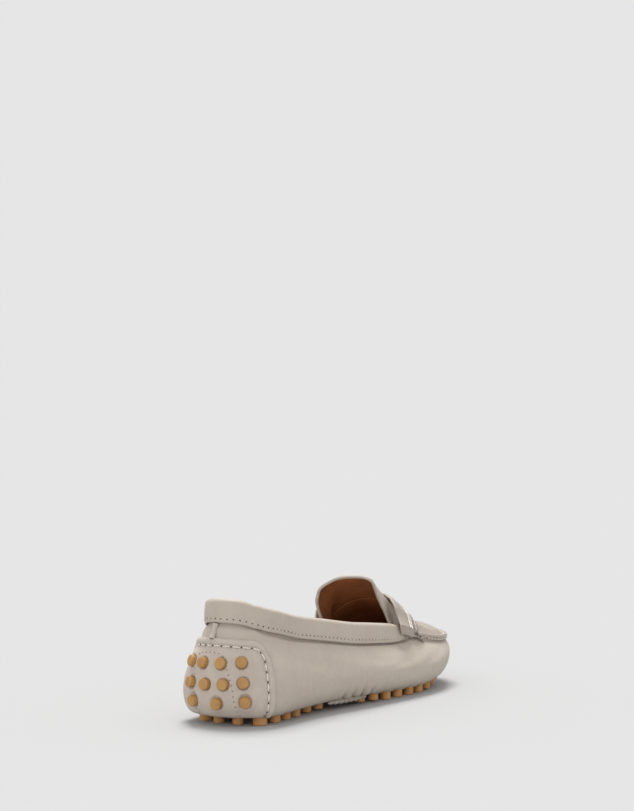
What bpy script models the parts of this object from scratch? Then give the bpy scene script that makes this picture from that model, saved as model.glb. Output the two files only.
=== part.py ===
"""Driving moccasin for the right foot, standing empty on its rubber studs.

Metres, +Z up, +Y from the heel to the toe, +X to the outer side of the foot. Every form is worked
out from the last: skin() is the side wall from the underside up to the top line, vault() the apron
and tongue that arch over the instep, and ground() the underside. The finished shoe is moved so that
the middle of its box stands on the origin.
"""
import math

import bmesh
import bpy
import numpy as np
from mathutils import Matrix, Vector

# Sizes of the shoe
LENGTH = 0.250          # heel to toe of the leather
BALL_WIDTH = 0.089      # width that the plan's fullness is given in
HEEL_HEIGHT = 0.0695    # top line over the floor at the heel
TONGUE_HEIGHT = 0.0738  # top of the tongue over the floor
TOE_SPRING = 0.0095     # lift of the underside at the toe
FULLEST = 0.013         # height of the fullest line over the underside
TURN = 0.010            # how far in the wall rolls under
LEAN = 0.0135           # how far in the wall leans at the heel
LEATHER = 0.0019        # wall of the upper and of the bottom panel
GAP = 0.0003            # clearance between touching pieces

# Collar band, folded over the top edge
BAND_TALL = 0.0135
BAND_LEATHER = 0.0015
BAND_PROUD = 0.0010
BAND_FRONT = 0.645      # share of the length where it ends
BAND_INSIDE = 0.009     # depth of the fold inside

# Saddle strap and tongue
STRAP_REAR = 0.632      # shares of the length
STRAP_FRONT = 0.722
STRAP_DROP = 0.0058     # reach of its ends below the top line
STRAP_LEATHER = 0.0015
THROAT = 0.680          # where the apron ends under the strap
TONGUE_LEATHER = 0.0017
TONGUE_TUCK = 0.0052    # how far the tongue sits inside the collar

SEAM_PROUD = 0.0011     # raised seam around the apron

# Heel patch, its rubber studs and the strip over it
PATCH_WIDE = 0.0740     # measured around the heel
PATCH_TALL = 0.0375
PATCH_FOOT = 0.0090     # its lower edge below the fullest line, around the roll
PATCH_ROUND = 0.0095
PATCH_LEATHER = 0.0013
RIM_PROUD = 0.0012
STRIP_WIDE = 0.0028

# Rubber studs
STUD_TALL = 0.0046      # below the leather
STUD_WIDE = 0.0062
STUD_PROUD = 0.0033     # behind the heel patch
CORNER_WIDE = 0.0080    # the two rear corner studs
RUBBER = 0.0012         # plate that carries the studs
STUD_ROW = 0.0124       # pitch along the shoe
STUD_SIDES = 8
HEEL_TREAD = (0.012, 0.084)
FRONT_TREAD = (0.1185, 0.2290)
EDGE_IN = 0.0118        # outer studs in from the outline
INSOLE_THICK = 0.0022
INSOLE_IN = 0.0066       # its edge in from the outline

# Sections of the last. along: share of the length. outer, inner: half width over half of
# BALL_WIDTH. rise: share of TOE_SPRING. top: share of HEEL_HEIGHT. lean: share of LEAN.
# belly: share of FULLEST. band: upright part of the wall, share of BAND_TALL.
LAST = dict(
    along=[0.00, 0.02, 0.06, 0.12, 0.20, 0.30, 0.42, 0.52, 0.62, 0.70, 0.78, 0.86, 0.93, 1.00],
    outer=[1.55, 1.51, 1.37, 1.10, 0.89, 0.815, 0.85, 0.90, 0.97, 1.055, 1.12, 1.155, 1.17, 1.15],
    inner=[1.52, 1.47, 1.31, 1.05, 0.86, 0.76, 0.68, 0.72, 0.86, 1.01, 1.15, 1.26, 1.33, 1.36],
    rise=[0.0, 0.0, 0.0, 0.0, 0.01, 0.08, 0.14, 0.08, 0.02, 0.02, 0.10, 0.32, 0.63, 1.00],
    top=[1.0, .985, .955, .905, .835, .777, .708, .670, .625, .554, .489, .452, .443, .455],
    lean=[.67, .85, 1.0, .85, .755, .68, .70, .785, .89, .92, .74, .45, .19, .22],
    belly=[1, 1, 1, 1, 1, 1, 1, 1, 1, .96, .92, .92, .92, .92],
    band=[1, 1, 1, 1, .98, .96, .94, .92, .80, .36, .22, .22, .22, .22],
)
# Arch over the instep. crest: share of TONGUE_HEIGHT. power, root: roundness. skew: how far the
# crest moves outwards. sway: how far the arch stands inwards, share of TONGUE_TUCK.
ARCH = dict(
    along=[0.58, 0.62, 0.66, 0.70, 0.74, 0.79, 0.86, 0.93, 1.00],
    crest=[1.0, .912, .827, .750, .683, .622, .550, .502, .437],
    power=[2.8, 2.4, 2.2, 2.1, 2.1, 2.0, 2.0, 2.0, 2.0],
    root=[1.8, 1.5, 1.4, 1.35, 1.3, 1.2, 1.0, 1.0, 1.0],
    skew=[.27, .20, .08, .08, .07, .05, .03, 0.0, 0.0],
    sway=[.95, .60, .15, 0.0, 0.0, 0.0, 0.0, 0.0, 0.0],
)
# Free edge of the tongue: place across the arch, -1 inner to 1 outer, and share of the length
TONGUE_EDGE = dict(across=[-1.0, -0.92, -0.75, -0.40, 0.0, 0.40, 0.70, 0.875, 1.0],
                   along=[.628, .612, .582, .577, .5845, .587, .596, .6205, .636])
# Studs behind the heel: place around the heel as a share of half PATCH_WIDE, and height over the
# fullest line as a share of PATCH_TALL.
HEEL_STUDS = [(-0.47, 0.46), (-0.18, 0.45), (0.15, 0.455), (0.48, 0.48),
              (-0.40, 0.16), (-0.09, 0.15), (0.21, 0.16), (0.51, 0.19),
              (-0.33, -0.08), (0.11, -0.09), (0.54, -0.06)]
# Extra inset of the outer studs at the heel and the waist, share of EDGE_IN
STUD_LINE = dict(along=[0.0, 0.03, 0.08, 0.16, 0.23, 0.28, 0.34, 0.45, 0.52, 1.0],
                 inset=[0.40, 0.22, 0.0, 0.0, 0.16, 0.28, 0.36, 0.14, 0.0, 0.0])
TAUPE, HEEL_TAUPE, BROWN, TAN = (
    (0.42, 0.36, 0.30), (0.53, 0.46, 0.41), (0.10, 0.034, 0.014), (0.48, 0.28, 0.12))


# Reading the tables
def curve(xs, ys, x):
    """Smooth curve through a table, a cubic between each two entries."""
    xs, ys = np.asarray(xs, float), np.asarray(ys, float)
    x = np.clip(np.asarray(x, float), xs[0], xs[-1])
    h = np.diff(xs)
    d = np.diff(ys) / h
    m = np.empty_like(ys)
    m[1:-1] = (d[:-1] * h[1:] + d[1:] * h[:-1]) / (h[:-1] + h[1:])
    m[0], m[-1] = d[0], d[-1]
    i = np.clip(np.searchsorted(xs, x, side="right") - 1, 0, len(h) - 1)
    t = (x - xs[i]) / h[i]
    return ((2 * t**3 - 3 * t**2 + 1) * ys[i] + (t**3 - 2 * t**2 + t) * h[i] * m[i]
            + (3 * t**2 - 2 * t**3) * ys[i + 1] + (t**3 - t**2) * h[i] * m[i + 1])


def last(name, s):
    return curve(LAST["along"], LAST[name], s)


def arch(name, s):
    return curve(ARCH["along"], ARCH[name], s)


def ramp(a, b, x):
    t = np.clip((np.asarray(x, float) - a) / (b - a), 0, 1)
    return t * t * (3 - 2 * t)


# The last
def station(g):
    """Share of the length at g, which runs 0..1 along the outer side and back to 2 inside."""
    g = np.asarray(g, float) % 2.0
    return (1 - np.cos(math.pi * np.minimum(g, 2 - g))) / 2


def going(s):
    """The g of the outer side at a share of the length."""
    return np.arccos(1 - 2 * np.asarray(s, float)) / math.pi


def plan(g):
    g = np.asarray(g, float) % 2.0
    s = station(g)
    wide = np.where(g <= 1, last("outer", s), -last("inner", s)) * BALL_WIDTH / 2
    x = wide * np.sin(math.pi * np.minimum(g, 2 - g))
    return np.stack([x, LENGTH * s], -1)


def outward(g, e=1e-3):
    t = plan(g + e) - plan(g - e)
    t /= np.linalg.norm(t, axis=-1, keepdims=True)
    return np.stack([t[..., 1], -t[..., 0]], -1)


def under(s):
    return STUD_TALL + TOE_SPRING * last("rise", s)


def skin(g, h):
    """Wall of the last: h 0..1 is the roll under, 1..2 the side up to the band, 2..3 the band."""
    g, h = np.broadcast_arrays(np.asarray(g, float), np.asarray(h, float))
    s = station(g)
    low, belly = under(s), FULLEST * last("belly", s)
    band, top = BAND_TALL * last("band", s), HEEL_HEIGHT * last("top", s)
    roll = np.clip(h, 0, 1) * math.pi / 2
    side, upright = np.clip(h - 1, 0, 1), np.clip(h - 2, 0, 1)
    square = 0.72 + 0.13 * ramp(0.10, 0.30, s)
    shift = np.where(h < 1, -TURN * (1 - np.sin(roll) ** square), -LEAN * last("lean", s) * side**1.6)
    z = np.where(h < 1, low + belly * (1 - np.abs(np.cos(roll)) ** 0.9),
                 low + belly + (top - band - low - belly) * side + band * upright)
    at = plan(g) + outward(g) * shift[..., None]
    return np.concatenate([at, z[..., None]], -1)


def vault(s, q):
    """Arch over the instep, q -1..1 from the inner to the outer top line."""
    s, q = np.broadcast_arrays(np.asarray(s, float), np.asarray(q, float))
    g = going(s)
    m = ((1 + q) / 2)[..., None]
    at = skin(2 - g, 3.0) * (1 - m) + skin(g, 3.0) * m
    off = np.clip(np.abs(q - arch("skew", s) * (1 - q * q)), 0, 1)
    lift = (1 - off ** arch("power", s)) ** (1 / arch("root", s))
    at[..., 2] += (TONGUE_HEIGHT * arch("crest", s) - HEEL_HEIGHT * last("top", s)) * lift
    at[..., 0] -= TONGUE_TUCK * arch("sway", s) * 4 * lift * (1 - lift)
    return at


def arch_from(q, s):
    """The arch with its two directions in the order that turns its normal up."""
    return vault(s, q)


def ground(s, q):
    """Underside between the two inner edges of the roll, q -1..1 from inner to outer."""
    s, q = np.broadcast_arrays(np.asarray(s, float), np.asarray(q, float))
    g, m = going(s), ((1 + q) / 2)[..., None]
    return skin(2 - g, 0.0) * (1 - m) + skin(g, 0.0) * m


def bed(y):
    """Height of the flat of the underside at a place along the shoe."""
    s = np.linspace(0, 1, 101)
    g = going(s)
    return np.interp(y, (skin(g, 0.0)[:, 1] + skin(2 - g, 0.0)[:, 1]) / 2, under(s))


def raised(form, u, v, lift, e=2e-3):
    """Points of a form moved along its normal."""
    u, v = np.broadcast_arrays(np.asarray(u, float), np.asarray(v, float))
    du = form(u + e, v) - form(u - e, v)
    dv = form(u, v + e) - form(u, v - e)
    n = np.cross(du, dv)
    n /= np.maximum(np.linalg.norm(n, axis=-1, keepdims=True), 1e-12)
    return form(u, v) + n * np.asarray(lift, float)[..., None]


# Distance around the heel from the centre back, positive on the outer side
_G = np.linspace(-0.4, 0.4, 161)
_P = plan(_G)
_ARC = np.concatenate([[0], np.cumsum(np.linalg.norm(np.diff(_P, axis=0), axis=1))])
_ARC -= _ARC[80]


def arc(g):
    g = np.asarray(g, float)
    return np.interp(np.where(g > 1, g - 2, g), _G, _ARC)


def arc_to_g(a):
    return np.interp(a, _ARC, _G)


HEEL_SIDE = HEEL_HEIGHT - BAND_TALL - STUD_TALL - FULLEST   # h 1..2 at the centre back
HEEL_ROLL = 0.5 * math.pi * (TURN + FULLEST) / 2            # h 0..1 there


def climb(h):
    """Height over the fullest line, measured along the skin at the heel."""
    return np.where(h > 1, (h - 1) * HEEL_SIDE, (h - 1) * HEEL_ROLL)


def climbed(v):
    """The h at a height over the fullest line, the reverse of climb()."""
    return 1 + (v / HEEL_SIDE if v > 0 else v / HEEL_ROLL)


def patch_edge(g, h):
    """Distance inside the edge of the heel patch, negative outside it."""
    mid = PATCH_TALL / 2 - PATCH_FOOT
    a = np.abs(arc(g)) - (PATCH_WIDE / 2 - PATCH_ROUND)
    v = np.abs(climb(h) - mid) - (PATCH_TALL / 2 - PATCH_ROUND)
    out = np.hypot(np.maximum(a, 0), np.maximum(v, 0)) + np.minimum(np.maximum(a, v), 0)
    return PATCH_ROUND - out


def relief(g, h):
    """How far the upper's leather stands off the last."""
    s = station(g)
    h = np.asarray(h, float)
    d = patch_edge(g, h)
    recess = PATCH_LEATHER + RUBBER + 3 * GAP
    heel = np.where(np.abs(arc(g)) < PATCH_WIDE, 1.0, 0.0) * np.where(s < 0.2, 1.0, 0.0)
    lift = heel * (RIM_PROUD * ramp(0.35, 0.60, h) * ramp(-0.0075, -0.0035, d) 
                   - (RIM_PROUD * ramp(0.35, 0.60, h) + recess) * ramp(-0.0027, -0.0011, d))
    lift = lift - (BAND_LEATHER - BAND_PROUD + 2 * GAP) * ramp(1.93, 1.99, h) * (1 - ramp(BAND_FRONT + 0.008, THROAT, s))
    return lift + SEAM_PROUD * np.sin(math.pi * np.clip((h - 2) / 1.25, 0, 1)) * ramp(0.735, 0.77, s)


def wall(g, h):
    """Outer face of the upper. Its top edge stays below the fold of the collar."""
    s = station(g)
    h = np.minimum(h, 3 - np.where(h > 2.99, 1, 0) * (1 - ramp(BAND_FRONT + 0.008, THROAT, s))
                   * (BAND_LEATHER + GAP) / (BAND_TALL * last("band", s)))
    return raised(skin, g, h, relief(g, h))


def lip(g):
    """Where the upper's turned edge ends on the roll. It is narrower behind the heel patch."""
    return 0.24 - 0.10 * (1 - ramp(0.07, 0.13, station(g)))


def apron(s, q):
    at = vault(s, q)
    groove = SEAM_PROUD * 0.6 * (ramp(0.735, 0.77, s) - ramp(0.93, 0.98, s)) * ramp(0.80, 0.93, np.abs(q))
    at[..., 2] -= groove * (1 - ramp(0.985, 1.0, np.abs(q)))
    return at


# Columns around the shoe, used by every piece that lies on another
PATCH_STEPS = np.array([0.0010, 0.0028])    # foot and top of the step around the heel patch
BESIDE = arc_to_g(PATCH_WIDE / 2 + np.array([*PATCH_STEPS, 0.0072]))
SIDE = np.array([0, *BESIDE[0] * np.array([.17, .34, .51, .67, .8]), *BESIDE,
                 *(BESIDE[-1] + (.315 - BESIDE[-1]) * np.array([.13, .54])), .315, .37, .43, .49,
                 .54, .57, float(going(BAND_FRONT)), float(going(BAND_FRONT + 0.010)),
                 float(going(THROAT)), .65, .69, .735, .78, .825, .87, .91, .95, 1])
RING = np.concatenate([SIDE, 2 - SIDE[-2:0:-1]])
HALF = len(SIDE) - 1
ACROSS = np.array([-.96, -.88, -.72, -.50, -.26, 0, .26, .50, .72, .88, .96])


# Making objects
def material(name, rgb, rough):
    mat = bpy.data.materials.new(name)
    mat.use_nodes = True
    face = mat.node_tree.nodes["Principled BSDF"]
    face.inputs["Base Color"].default_value = (*rgb, 1)
    face.inputs["Roughness"].default_value = rough
    face.inputs["Metallic"].default_value = 0.0
    mat.diffuse_color = (*rgb, 1)
    return mat


def add(name, verts, faces, rgb, rough=0.7):
    mesh = bpy.data.meshes.new(name)
    mesh.from_pydata([tuple(map(float, v)) for v in verts], [], faces)
    mesh.validate()
    mesh.update()
    thing = bpy.data.objects.new(name, mesh)
    SHOE.objects.link(thing)
    thing.data.materials.append(material(name + "_finish", rgb, rough))
    mesh.shade_smooth()
    mesh.set_sharp_from_angle(angle=math.radians(40))
    return thing


def thicken(thing, depth):
    """Thickness behind the sheet where depth is positive, in front where negative."""
    solid = thing.modifiers.new("leather", "SOLIDIFY")
    solid.thickness = abs(depth)
    solid.offset = -1.0 if depth > 0 else 1.0
    solid.use_even_offset = True
    solid.use_rim = True
    solid.thickness_clamp = 1.2
    return thing


def grid(points):
    """Vertices and faces of a rectangular net of points."""
    n, m = points.shape[:2]
    faces = [(i * m + j, (i + 1) * m + j, (i + 1) * m + j + 1, i * m + j + 1)
             for i in range(n - 1) for j in range(m - 1)]
    return points.reshape(-1, 3), faces


def rings(rows, cap=None, stations=None, across=(), low=False):
    """Closed rings joined into a tube, with a cap woven across the last one, or the first."""
    count = len(RING)
    verts = [p for row in rows for p in row]
    faces = []
    for k in range(len(rows) - 1):
        for i in range(count):
            j = (i + 1) % count
            faces.append((k * count + i, k * count + j, (k + 1) * count + j, (k + 1) * count + i))
    if cap is None:
        return verts, faces
    base = 0 if low else (len(rows) - 1) * count
    strips = []
    for i in stations:
        if i in (0, HALF):
            strips.append([base + i])
            continue
        start = len(verts)
        verts += list(cap(station(SIDE[i]), np.array(across)))
        strips.append([base + count - i, *range(start, start + len(across)), base + i])
    for a, b in zip(strips, strips[1:]):
        if len(a) == 1:
            new = [(a[0], b[m + 1], b[m]) for m in range(len(b) - 1)]
        elif len(b) == 1:
            new = [(a[m], a[m + 1], b[0]) for m in range(len(a) - 1)]
        else:
            new = [(a[m], a[m + 1], b[m + 1], b[m]) for m in range(len(a) - 1)]
        faces += [f[::-1] for f in new] if low else new
    return verts, faces


def studs(name, places, wide, gap=0.0):
    """One closed drum for each (foot, root, width) in places."""
    bm = bmesh.new()
    for foot, root, size in places:
        foot, root = Vector(foot), Vector(root)
        way = root - foot
        turn = way.to_track_quat("Z", "Y").to_matrix().to_4x4()
        spot = Matrix.Translation((foot + root) / 2) @ turn
        bmesh.ops.create_cone(bm, cap_ends=True, segments=STUD_SIDES, radius1=size / 2 + gap,
                              radius2=size / 2 + gap, depth=way.length, matrix=spot)
    mesh = bpy.data.meshes.new(name)
    bm.to_mesh(mesh)
    bm.free()
    tool = bpy.data.objects.new(name, mesh)
    TOOLS.objects.link(tool)
    tool.hide_render = True
    tool.display_type = "WIRE"
    return tool


def boolean(thing, tool, how):
    cut = thing.modifiers.new(how.lower(), "BOOLEAN")
    cut.operation = how
    cut.solver = "EXACT"
    cut.object = tool


# The pieces
def make_upper():
    low, high = [climbed(-PATCH_FOOT - d) for d in PATCH_STEPS], PATCH_TALL - PATCH_FOOT
    top = [climbed(high + d) for d in PATCH_STEPS]
    rows = [lip(RING), low[1], low[0], 0.74, 1.0, 1 + 0.32 * (top[0] - 1), 1 + 0.64 * (top[0] - 1), *top,
            *(top[1] + (1.99 - top[1]) * np.array([0.37, 0.66, 1.0])), 2.5, 3.0]
    first = int(np.argmin(np.abs(SIDE - going(THROAT))))
    verts, faces = rings([wall(RING, h) for h in rows], apron, range(first, HALF + 1), ACROSS)
    return thicken(add("upper", verts, faces, TAUPE), LEATHER)


def make_bottom_panel():
    edge = lip(RING) - (GAP + 0.55 * LEATHER) / HEEL_ROLL
    rows = [0.0, edge * 0.6, edge]
    verts, faces = rings([skin(RING, h) for h in rows], ground, range(0, HALF + 1), (0,), low=True)
    panel = thicken(add("bottom_panel", verts, faces, TAUPE), LEATHER)
    boolean(panel, studs("stud_holes", floor_studs(HEEL_TREAD) + floor_studs(FRONT_TREAD),
                         STUD_WIDE, GAP), "DIFFERENCE")
    return panel


def make_insole():
    lift = LEATHER + RUBBER + 3 * GAP

    def rim(g):
        s = station(g)
        past = float(station(BESIDE[-1]))
        recess = (PATCH_LEATHER + RUBBER + 3 * GAP) * (1 - ramp(past, past + 0.04, s))
        at = plan(g) - outward(g) * (INSOLE_IN + recess)[..., None]
        return np.concatenate([at, (bed(at[..., 1]) + lift)[..., None]], -1)

    def deck(s, q):
        g, m = going(s), ((1 + q) / 2)[..., None]
        return rim(2 - g) * (1 - m) + rim(g) * m

    verts, faces = rings([rim(RING)], deck, range(0, HALF + 1), (-.5, 0, .5), low=True)
    return thicken(add("insole", verts, faces, BROWN, 0.6), INSOLE_THICK)


def inset_line(inset):
    """The outline of the shoe moved in, from the inner waist round the heel, or round the toe."""
    g = np.linspace(0, 2, 721)
    extra = EDGE_IN * curve(STUD_LINE["along"], STUD_LINE["inset"], station(g))
    return plan(g) - outward(g) * (inset + extra)[:, None]


def tread_line(tread, inset):
    """Open line round one tread, along the inset outline, between its two ends at the waist."""
    line = inset_line(inset)
    if tread is HEEL_TREAD:
        line = np.roll(line[:-1], 360, axis=0)
        return line[line[:, 1] <= tread[1]]
    return line[line[:, 1] >= tread[0]]


def floor_studs(tread):
    """(foot, root, width) of each stud below a tread: one row round the edge and fewer inside."""
    line = tread_line(tread, EDGE_IN)
    run = np.concatenate([[0], np.cumsum(np.linalg.norm(np.diff(line, axis=0), axis=1))])
    count = int(round(run[-1] / STUD_ROW)) + 1
    at = np.linspace(0, run[-1], count)
    spots = [(np.interp(d, run, line[:, 0]), np.interp(d, run, line[:, 1])) for d in at]
    pitch = STUD_ROW * 1.5
    rows = int((tread[1] - tread[0]) / (pitch * 0.8))
    for k in range(rows):
        y = tread[0] + (k + 0.5) * (tread[1] - tread[0]) / rows
        ends = [float(np.interp(y, half[:, 1], half[:, 0])) for half in halves(line)]
        many = max(0, int(abs(ends[1] - ends[0]) / pitch) - k % 2)
        for x in np.linspace(*ends, many + 2)[1:-1]:
            if min(math.hypot(x - u, y - v) for u, v in spots) > STUD_ROW * 0.75:
                spots.append((float(x), y))
    places = []
    for n, (x, y) in enumerate(spots):
        lift = float(bed(y)) - STUD_TALL
        slope = float(bed(y + 0.003) - bed(y - 0.003)) / 0.006
        if lift < 0.0006:
            lift, slope = 0.0, 0.0
        corner = tread is HEEL_TREAD and n < count and abs(x) > 0.014 and y < 0.024
        root = STUD_TALL + LEATHER + 2 * GAP + RUBBER * 0.6
        way = np.array([0, -slope, 1.0])
        foot = np.array([x, y + slope * root, lift])
        places.append((foot, foot + way * root, CORNER_WIDE if corner else STUD_WIDE))
    return places


def halves(line):
    """The two sides of a tread's line, each from the heel to the toe."""
    half = len(line) // 2
    return [side[np.argsort(side[:, 1])] for side in (line[:half], line[half:])]


def make_tread(name, tread):
    """Rubber plate over the bottom panel, with the studs that pass through its holes."""
    line = tread_line(tread, EDGE_IN - STUD_WIDE / 2 - GAP)
    sides = halves(line)
    low = max(line[:, 1].min() + 0.0006, 0 if tread is HEEL_TREAD else tread[0] - STUD_WIDE * 0.6)
    high = min(line[:, 1].max() - 0.0006, 1 if tread is FRONT_TREAD else tread[1] + STUD_WIDE * 0.6)
    wave = np.linspace(0, 1, 10)
    wave = wave**1.5 if tread is HEEL_TREAD else 1 - (1 - wave) ** 1.5
    rows = []
    for y in low + (high - low) * wave:
        ends = [float(np.interp(y, s[:, 1], s[:, 0])) for s in sides]
        z = float(bed(y)) + LEATHER + 2 * GAP
        rows.append([(x, y, z) for x in np.linspace(min(ends), max(ends), 4)])
    verts, faces = grid(np.array(rows))
    plate = thicken(add(name, verts, faces, TAN, 0.8), RUBBER)
    boolean(plate, studs(name + "_studs", floor_studs(tread), STUD_WIDE), "UNION")
    return plate


def patch_points(lift):
    """Net over the heel patch with rounded corners."""
    half = PATCH_WIDE / 2
    steps = np.concatenate([[0, .18, .5], np.linspace(1, PATCH_TALL / PATCH_ROUND - 1, 4),
                            PATCH_TALL / PATCH_ROUND - np.array([.5, .18, 0])]) * PATCH_ROUND
    rows = []
    for step in steps:
        near = min(step, PATCH_TALL - step, PATCH_ROUND)
        reach = half - PATCH_ROUND + math.sqrt(max(0.0, PATCH_ROUND**2 - (PATCH_ROUND - near) ** 2))
        v = step - PATCH_FOOT
        h = climbed(v)
        g = arc_to_g(np.linspace(-reach, reach, 14))
        rows.append(raised(skin, g, np.full_like(g, h), np.full_like(g, lift)))
    return np.array(rows)


def heel_studs(gap=0.0):
    places = []
    for around, up in HEEL_STUDS:
        h = climbed(up * PATCH_TALL)
        g = float(arc_to_g(around * PATCH_WIDE / 2))
        root = raised(skin, g, h, -(PATCH_LEATHER + GAP + RUBBER * 0.6))
        places.append((raised(skin, g, h, STUD_PROUD), root, STUD_WIDE))
    return places


def make_heel_patch():
    verts, faces = grid(patch_points(0.0))
    patch = thicken(add("heel_patch", verts, [f[::-1] for f in faces], HEEL_TAUPE), PATCH_LEATHER)
    boolean(patch, studs("heel_holes", heel_studs(), STUD_WIDE, GAP), "DIFFERENCE")
    return patch


def make_heel_back_studs():
    verts, faces = grid(patch_points(-(PATCH_LEATHER + GAP))[2:-2, 1:-1])
    plate = thicken(add("heel_back_studs", verts, [f[::-1] for f in faces], TAN, 0.8), RUBBER)
    boolean(plate, studs("heel_back_drums", heel_studs(), STUD_WIDE), "UNION")
    return plate


def make_heel_strip():
    low = 1 + (PATCH_TALL - PATCH_FOOT + STRIP_WIDE * 0.3) / HEEL_SIDE
    high = 2 - STRIP_WIDE * 0.45 / HEEL_SIDE
    hs = np.linspace(low, high, 4)
    at = raised(skin, 0 * hs, hs, 0 * hs + 2 * GAP + STRIP_WIDE / 2
                + RIM_PROUD * ramp(-0.0075, -0.0035, patch_edge(0 * hs, hs)))
    line = bpy.data.curves.new("heel_strip_line", "CURVE")
    line.dimensions = "3D"
    line.bevel_depth = STRIP_WIDE / 2
    line.bevel_resolution = 2
    line.use_fill_caps = True
    run = line.splines.new("POLY")
    run.points.add(len(hs) - 1)
    for point, p in zip(run.points, at):
        point.co = (p[0], p[1], p[2], 1)
    guide = bpy.data.objects.new("heel_strip_line", line)
    TOOLS.objects.link(guide)
    bpy.context.view_layer.update()
    mesh = bpy.data.meshes.new_from_object(guide.evaluated_get(bpy.context.evaluated_depsgraph_get()))
    bpy.data.objects.remove(guide)
    bm = bmesh.new()
    bm.from_mesh(mesh)
    bmesh.ops.remove_doubles(bm, verts=bm.verts, dist=1e-6)
    bm.to_mesh(mesh)
    bm.free()
    mesh.name = "heel_strip"
    strip = bpy.data.objects.new("heel_strip", mesh)
    SHOE.objects.link(strip)
    mesh.materials.append(material("heel_strip_finish", TAUPE, 0.7))
    mesh.shade_smooth()
    return strip


def make_collar():
    """Band folded over the top edge: outer flap, fold and inner flap."""
    end = float(going(BAND_FRONT))
    cols = np.array([g for g in SIDE if g < end - 0.001] + [end - 0.009, end])
    cols = np.concatenate([2 - cols[:0:-1], cols])
    s = station(cols)
    tall = BAND_TALL * last("band", s)
    front = np.clip((station(end) - s) * LENGTH / 0.007, 0, 1)
    corner = 0.42 * (1 - np.sqrt(1 - (1 - front) ** 2))
    out = BAND_PROUD - BAND_LEATHER
    back = out - GAP * 3.5 - LEATHER
    edge = 1 - (BAND_LEATHER + GAP * 0.6) / tall
    rows = []
    for share in (0.0, 0.36, 0.80):
        rows.append(raised(skin, cols, 2 + corner + (edge - corner) * share, 0 * cols + out))
    for turn in (0.0, 0.5, 1.0):
        rows.append(raised(skin, cols, 2 + edge, out + (back - out) * turn + 0 * cols))
    for share in (0.5, 1.0):
        h = 2 + edge - share * BAND_INSIDE / tall * (1 - 0.5 * (1 - front))
        rows.append(raised(skin, cols, h, 0 * cols + back))
    verts, faces = grid(np.array(rows))
    return thicken(add("collar", verts, [f[::-1] for f in faces], TAUPE), -BAND_LEATHER)


def make_tongue():
    """Free part of the apron, open at its rear edge, tucked inside the collar at both sides."""
    q = np.concatenate([[-1], ACROSS, [1]])
    root = THROAT - 3 * GAP / LENGTH
    rows = []
    for a in (0.0, 0.14, 0.30, 0.48, 0.66, 0.84, 1.0):
        tip = curve(TONGUE_EDGE["across"], TONGUE_EDGE["along"], q)
        s = root + (tip - root) * a
        at = vault(s, q * (0.95 + 0.05 * ramp(0.15, 0.45, a)))
        at[:, 2] -= 0.8 * TONGUE_TUCK * ramp(0.3, 0.55, a) * ramp(0.88, 1.0, np.abs(q))
        tuck = TONGUE_TUCK * ramp(0.10, 0.45, a) * ramp(0.55, 0.98, np.abs(q)) * np.sign(q)
        at[:, 0] -= tuck
        rows.append(at)
    verts, faces = grid(np.array(rows))
    return thicken(add("tongue", verts, faces, TAUPE), TONGUE_LEATHER)


def make_strap():
    """Saddle over the arch, with its ends down the wall over the collar's front."""
    q = ACROSS
    drops = np.array([1.0, 0.66, 0.33, 0.0])
    rows = []
    for a in np.linspace(0, 1, 6):
        def along(down):
            rear = STRAP_REAR + 0.012 * down
            return rear + (STRAP_FRONT + 0.014 * down - rear) * a
        line = []
        for down in drops:
            line.append(wall_point(along(down), -1, down))
        for k in q:
            s = along(0.0)
            over = (BAND_PROUD + GAP) * (1 - ramp(0.66, 0.68, s)) * ramp(0.72, 0.95, abs(k))
            line.append(raised(arch_from, k, s, 3 * GAP + over))
        for down in drops[::-1]:
            line.append(wall_point(along(down), 1, down))
        rows.append(line)
    verts, faces = grid(np.array(rows))
    return thicken(add("strap", verts, [f[::-1] for f in faces], TAUPE), -STRAP_LEATHER)


def wall_point(s, side, down):
    g = float(going(s)) if side > 0 else 2 - float(going(s))
    tall = BAND_TALL * float(last("band", s))
    rest = HEEL_HEIGHT * float(last("top", s)) - tall - float(under(s)) - FULLEST * float(last("belly", s))
    drop = STRAP_DROP * down
    h = 3 - drop / tall if drop < tall else 2 - (drop - tall) / rest
    over = (BAND_PROUD + GAP) * (1 - float(ramp(0.66, 0.68, s)))
    return raised(skin, g, h, 3 * GAP + over)


def build():
    parts = [make_upper(), make_bottom_panel(), make_tread("heel_tread", HEEL_TREAD),
             make_tread("forefoot_tread", FRONT_TREAD), make_insole(), make_collar(),
             make_tongue(), make_strap(), make_heel_patch(), make_heel_back_studs(),
             make_heel_strip()]
    bpy.context.view_layer.update()
    seen = bpy.context.evaluated_depsgraph_get()
    boxes = [np.array([p.evaluated_get(seen).matrix_world @ Vector(c)
                       for c in p.evaluated_get(seen).bound_box]) for p in parts]
    corners = np.concatenate(boxes)
    middle = (corners.min(0) + corners.max(0)) / 2
    root = bpy.data.objects.new("moccasin", None)
    SHOE.objects.link(root)
    for thing in parts + list(TOOLS.objects):
        thing.parent = root
    root.location = (-middle[0], -middle[1], 0)


for old in list(bpy.data.objects):
    bpy.data.objects.remove(old)
SHOE = bpy.data.collections.new("driving_moccasin")
TOOLS = bpy.data.collections.new("cutters")
bpy.context.scene.collection.children.link(SHOE)
bpy.context.scene.collection.children.link(TOOLS)
build()
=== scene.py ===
"""Looks of the driving moccasin: leather upper, collar band, tongue, strap, heel patch, rubber
studs and all the sewing, set over the plain part. Metres, +Z up, +Y to the toe, +X outside."""
import math

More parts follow.
